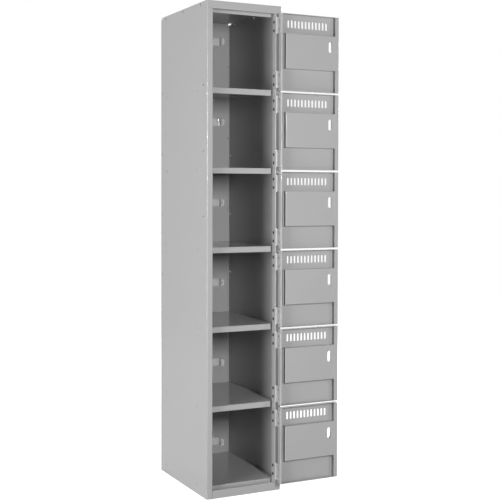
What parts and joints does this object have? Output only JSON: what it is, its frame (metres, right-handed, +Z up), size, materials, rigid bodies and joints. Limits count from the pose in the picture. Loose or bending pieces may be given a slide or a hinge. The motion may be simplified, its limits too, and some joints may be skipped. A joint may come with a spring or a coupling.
{
  "type": "metal locker",
  "caption": "Tall single-column box locker of folded sheet steel, with stacked compartments, vented inset doors on butt hinges and a padlock eye for each door.",
  "frame": {"origin": "on the floor, at the centre of the cabinet's footprint, which is also the centre of its floor bolts", "axes": "+Z up, the cabinet faces -Y, and the doors are hinged on its +X side"},
  "size_m": [0.5323, 0.5029, 1.8288],
  "materials": {
    "paint": "semi-gloss grey powder coat",
    "steel": "bright zinc plate",
    "black": "black oxide"
  },
  "bodies": {
    "cabinet": {"left_side_panel": "paint", "right_side_panel": "paint", "back_panel": "paint", "top_panel": "paint", "top_stop_rail": "paint", "base_rail": "paint", "floor_panel": "paint", "shelf_1": "paint", "shelf_2": "paint", "shelf_3": "paint", "shelf_4": "paint", "shelf_5": "paint", "seam_rivets": "paint", "back_rivets": "paint", "hasp_rivets": "paint", "frame_hinge_rivets": "black", "hasp_1": "paint", "hasp_2": "paint", "hasp_3": "paint", "hasp_4": "paint", "hasp_5": "paint", "hasp_6": "paint", "hinge_frame_leaf_1": "paint", "hinge_frame_leaf_2": "paint", "hinge_frame_leaf_3": "paint", "hinge_frame_leaf_4": "paint", "hinge_frame_leaf_5": "paint", "hinge_frame_leaf_6": "paint", "hinge_pin_1": "steel", "hinge_pin_2": "steel", "hinge_pin_3": "steel", "hinge_pin_4": "steel", "hinge_pin_5": "steel", "hinge_pin_6": "steel"},
    "door_1": {"door_panel_1": "paint", "door_stiffener_1": "paint", "hinge_door_leaf_1": "paint", "door_hinge_rivets_1": "steel"},
    "door_2": {"door_panel_2": "paint", "door_stiffener_2": "paint", "hinge_door_leaf_2": "paint", "door_hinge_rivets_2": "steel"},
    "door_3": {"door_panel_3": "paint", "door_stiffener_3": "paint", "hinge_door_leaf_3": "paint", "door_hinge_rivets_3": "steel"},
    "door_4": {"door_panel_4": "paint", "door_stiffener_4": "paint", "hinge_door_leaf_4": "paint", "door_hinge_rivets_4": "steel"},
    "door_5": {"door_panel_5": "paint", "door_stiffener_5": "paint", "hinge_door_leaf_5": "paint", "door_hinge_rivets_5": "steel"},
    "door_6": {"door_panel_6": "paint", "door_stiffener_6": "paint", "hinge_door_leaf_6": "paint", "door_hinge_rivets_6": "steel"}
  },
  "joints": [
    {"name": "door_1_hinge", "type": "hinge", "parent": "cabinet", "child": "door_1", "pos_m": [0.1274, -0.2401, 1.6525], "axis": [0, 0, -1], "range_deg": [0, 180]},
    {"name": "door_2_hinge", "type": "hinge", "parent": "cabinet", "child": "door_2", "pos_m": [0.1274, -0.2401, 1.3575], "axis": [0, 0, -1], "range_deg": [0, 180]},
    {"name": "door_3_hinge", "type": "hinge", "parent": "cabinet", "child": "door_3", "pos_m": [0.1274, -0.2401, 1.0625], "axis": [0, 0, -1], "range_deg": [0, 180]},
    {"name": "door_4_hinge", "type": "hinge", "parent": "cabinet", "child": "door_4", "pos_m": [0.1274, -0.2401, 0.7675], "axis": [0, 0, -1], "range_deg": [0, 180]},
    {"name": "door_5_hinge", "type": "hinge", "parent": "cabinet", "child": "door_5", "pos_m": [0.1274, -0.2401, 0.4725], "axis": [0, 0, -1], "range_deg": [0, 180]},
    {"name": "door_6_hinge", "type": "hinge", "parent": "cabinet", "child": "door_6", "pos_m": [0.1274, -0.2401, 0.1775], "axis": [0, 0, -1], "range_deg": [0, 180]}
  ]
}
